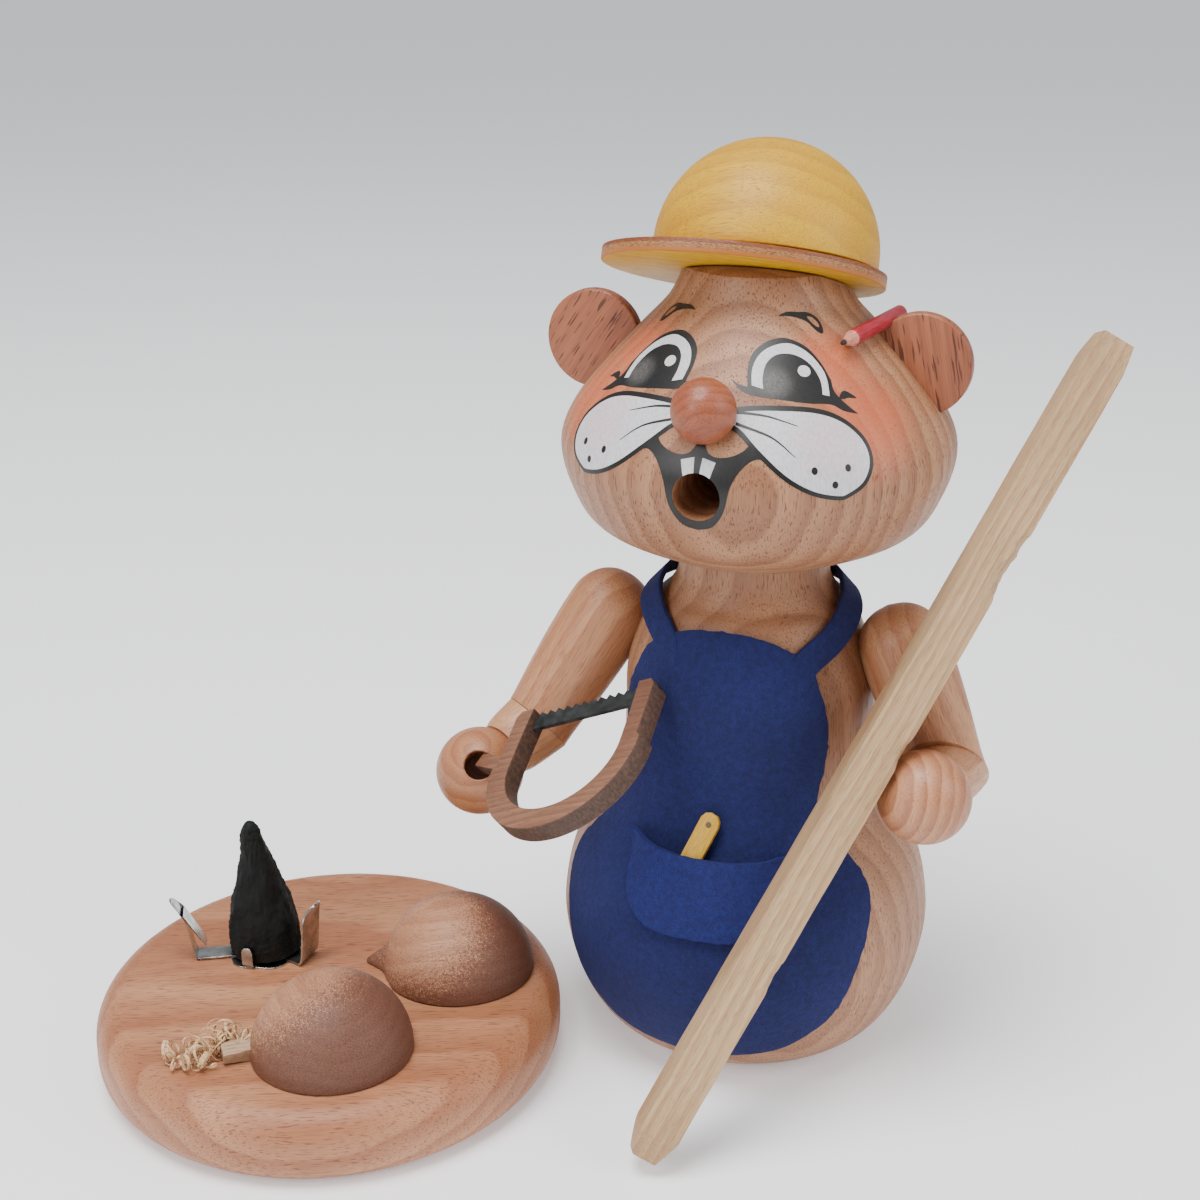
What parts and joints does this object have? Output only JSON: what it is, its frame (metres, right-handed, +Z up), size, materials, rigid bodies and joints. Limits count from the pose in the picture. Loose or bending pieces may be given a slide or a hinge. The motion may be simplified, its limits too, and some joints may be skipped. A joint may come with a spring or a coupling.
{
  "type": "incense smoker figure",
  "caption": "Turned beech carpenter figure that lifts off a plate with a sheet-metal cone holder; smoke leaves by its open mouth.",
  "frame": {"origin": "middle of the base plate's underside, on the surface the part stands on", "axes": "+Z up; +X from the plate towards the figure standing beside it; -Y to the front"},
  "size_m": [0.1983, 0.1015, 0.1795],
  "materials": {
    "beech": "thin matt lacquer",
    "base_beech": "thin matt lacquer",
    "brown_beech": "brown stain under satin lacquer",
    "stained_foot": "sprayed brown stain",
    "ear_beech": "brown stain",
    "felt_blue": "pressed felt",
    "hat_yellow": "yellow stain under satin lacquer",
    "plywood": "yellow stained faces, bare edge",
    "saw_wood": "bare, edges browned by cutting",
    "blade_grey": "dark grey paint",
    "pine": "bare, planed",
    "tinplate": "bright stamped sheet",
    "incense": "pressed powder",
    "shaved_wood": "bare, torn fibres",
    "rule_yellow": "yellow paint",
    "pencil_red": "gloss paint on a wooden stick"
  },
  "bodies": {
    "base": {"base_plate": "base_beech", "foot_right": "stained_foot", "foot_left": "stained_foot", "cone_holder": "tinplate", "holder_tack": "tinplate", "shaving_curl_1": "shaved_wood", "shaving_curl_2": "shaved_wood", "wood_chip": "shaved_wood"},
    "cone": {"incense_cone": "incense"},
    "figure": {"torso": "beech", "upper_arm_right": "beech", "upper_arm_left": "beech", "forearm_right": "beech", "forearm_left": "beech", "shoulder_dowel_right": "beech", "shoulder_dowel_left": "beech", "wrist_dowel_right": "beech", "wrist_dowel_left": "beech", "hand_right": "beech", "hand_left": "beech", "saw_frame": "saw_wood", "saw_blade": "blade_grey", "plank": "pine", "apron": "felt_blue", "apron_pocket": "felt_blue", "folding_rule": "rule_yellow", "head": "beech", "nose": "brown_beech", "ear_right": "ear_beech", "ear_left": "ear_beech", "pencil": "pencil_red", "hat_brim": "plywood", "hat_dome": "hat_yellow", "hat_dowel": "beech"}
  },
  "joints": [
    {"name": "figure_lift", "type": "slide", "parent": "base", "child": "figure", "axis": [0, 0, 1], "range_m": [0, 0.06]},
    {"name": "cone_lift", "type": "slide", "parent": "base", "child": "cone", "axis": [0, 0, 1], "range_m": [0, 0.036]}
  ]
}
